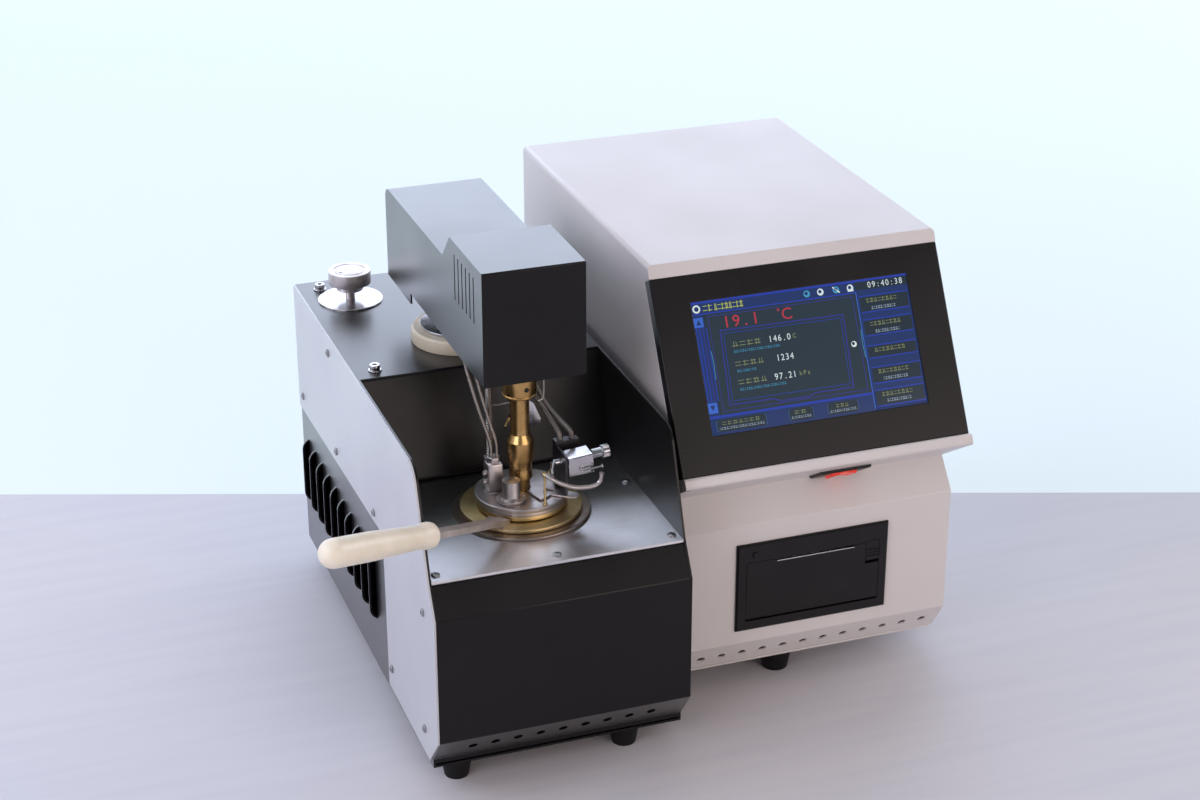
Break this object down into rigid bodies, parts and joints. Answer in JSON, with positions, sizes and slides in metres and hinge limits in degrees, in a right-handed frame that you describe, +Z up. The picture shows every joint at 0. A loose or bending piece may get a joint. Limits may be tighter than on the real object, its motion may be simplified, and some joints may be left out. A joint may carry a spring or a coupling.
{
  "type": "flash point tester",
  "caption": "Bench closed cup flash point tester: a heated test cup under a lifting arm with stirrer and igniter, beside a control box with touch screen and printer.",
  "frame": {"origin": "middle of the whole part on the surface that it stands on", "axes": "+X to the right along the front, +Y to the rear, +Z up"},
  "size_m": [0.4608, 0.4246, 0.332],
  "materials": {
    "black_sheet": "black satin powder coat",
    "grey_sheet": "dark grey satin powder coat",
    "white_sheet": "white satin powder coat",
    "trim": "light satin coat",
    "steel": "brushed stainless",
    "polished": "polished",
    "zinc": "plated screw",
    "brass": "turned brass",
    "aluminium": "machined",
    "nylon": "ivory nylon",
    "grip": "ivory moulded grip",
    "black_plastic": "black moulding",
    "screen_black": "black satin frame",
    "screen": "glass over the display",
    "red_plastic": "red rocker",
    "rubber": "tapered rubber foot",
    "paper": "thermal paper roll",
    "cable": "grey screened cable",
    "hose": "braided gas hose",
    "motor": "motor can",
    "board": "circuit board"
  },
  "bodies": {
    "casing": {"base_tray": "black_sheet", "front_panel": "black_sheet", "deck_plate": "steel", "housing_cover": "black_sheet", "left_side_panel": "grey_sheet", "right_side_panel": "black_sheet", "side_trim_plate": "trim", "rear_panel": "black_sheet", "pan_screws": "zinc", "cap_screws": "zinc", "bath_ring": "steel", "bath_block": "aluminium", "fan_frame": "black_plastic", "lift_motor": "motor", "bearing_flange": "nylon", "clamp_plate": "steel", "gas_valve": "polished", "rubber_feet": "rubber", "module_spacers": "aluminium", "control_cover": "white_sheet", "control_front": "white_sheet", "control_base": "white_sheet", "screen_frame": "screen_black", "touch_panel": "screen", "rocker_bezel": "black_plastic", "printer_housing": "black_plastic", "power_supply": "aluminium", "main_board": "board", "power_inlet": "black_plastic"},
    "arm": {"arm_cover": "black_sheet", "arm_frame": "aluminium", "lift_tube": "steel", "stirrer_motor": "motor", "drive_column": "brass", "lid_disc": "steel", "lid_rim": "brass", "probe_connector": "aluminium", "temperature_probe": "polished", "probe_cables": "cable", "probe_conduit": "polished", "port_cap": "steel", "igniter_bracket": "aluminium", "gas_hoses": "hose", "pilot_tube": "brass"},
    "stirrer": {"stirrer": "steel"},
    "shutter": {"shutter_plate": "polished"},
    "igniter": {"igniter_block": "aluminium", "igniter_nozzle": "polished"},
    "needle_valve": {"needle_valve_knob": "brass"},
    "cup": {"cup": "brass", "cup_handle": "steel", "cup_grip": "grip"},
    "gas_knob": {"gas_knob": "aluminium"},
    "rocker": {"rocker_button": "red_plastic"},
    "printer_door": {"printer_door": "black_plastic"},
    "printer_latch": {"printer_latch": "black_plastic"},
    "feed_button": {"feed_button": "black_plastic"},
    "paper_roll": {"paper_roll": "paper"},
    "fan_rotor": {"fan_rotor": "black_plastic"},
    "lift_screw": {"lift_screw": "steel"}
  },
  "joints": [
    {"name": "arm_lift", "type": "slide", "parent": "casing", "child": "arm", "axis": [0, 0, 1], "range_m": [0, 0.06]},
    {"name": "lift_screw_turn", "type": "hinge", "parent": "casing", "child": "lift_screw", "pos_m": [-0.06642, 0.06127, 0.076], "axis": [0, 0, 1], "range_deg": [-2, 1352]},
    {"name": "stirrer_spin", "type": "hinge", "parent": "arm", "child": "stirrer", "pos_m": [-0.06642, -0.07173, 0.1668], "axis": [0, 0, 1], "continuous": true},
    {"name": "shutter_turn", "type": "hinge", "parent": "arm", "child": "shutter", "pos_m": [-0.06642, -0.07173, 0.1668], "axis": [0, 0, -1], "range_deg": [0, 20]},
    {"name": "igniter_dip", "type": "hinge", "parent": "arm", "child": "igniter", "pos_m": [-0.04192, -0.08773, 0.1905], "axis": [0.9962, 0, 0.0872], "range_deg": [0, 75]},
    {"name": "needle_valve_turn", "type": "hinge", "parent": "igniter", "child": "needle_valve", "pos_m": [-0.04192, -0.08773, 0.1905], "axis": [0.9962, 0, 0.0872], "range_deg": [0, 270]},
    {"name": "cup_lift", "type": "slide", "parent": "casing", "child": "cup", "axis": [0, 0, 1], "range_m": [0, 0.03]},
    {"name": "gas_knob_turn", "type": "hinge", "parent": "casing", "child": "gas_knob", "pos_m": [-0.11942, 0.15327, 0.2425], "axis": [0, 0, 1], "range_deg": [0, 270]},
    {"name": "power_rocker", "type": "hinge", "parent": "casing", "child": "rocker", "pos_m": [0.14908, -0.09644, 0.15674], "axis": [0, -0.8436, 0.537], "range_deg": [-10, 10]},
    {"name": "printer_door_swing", "type": "hinge", "parent": "casing", "child": "printer_door", "pos_m": [0.01858, -0.10413, 0.05965], "axis": [1, 0, 0], "range_deg": [0, 90]},
    {"name": "printer_latch_slide", "type": "slide", "parent": "printer_door", "child": "printer_latch", "axis": [0, 0, -1], "range_m": [0, 0.002], "stiffness_N_per_m": 200, "springref_m": -0.002},
    {"name": "feed_button_press", "type": "slide", "parent": "casing", "child": "feed_button", "axis": [0, 1, 0], "range_m": [0, 0.001], "stiffness_N_per_m": 400, "springref_m": -0.001},
    {"name": "paper_roll_spin", "type": "hinge", "parent": "casing", "child": "paper_roll", "pos_m": [0.10158, -0.08073, 0.0785], "axis": [1, 0, 0], "continuous": true},
    {"name": "fan_spin", "type": "hinge", "parent": "casing", "child": "fan_rotor", "pos_m": [-0.03142, 0.18427, 0.136], "axis": [0, 1, 0], "continuous": true}
  ],
  "couplings": [
    {"joint": "lift_screw_turn", "follows": "arm_lift", "rad_per_m": 392.7},
    {"joint": "cup_lift", "follows": "arm_lift", "ratio": 0.5},
    {"joint": "igniter_dip", "follows": "shutter_turn", "ratio": 3.75}
  ]
}
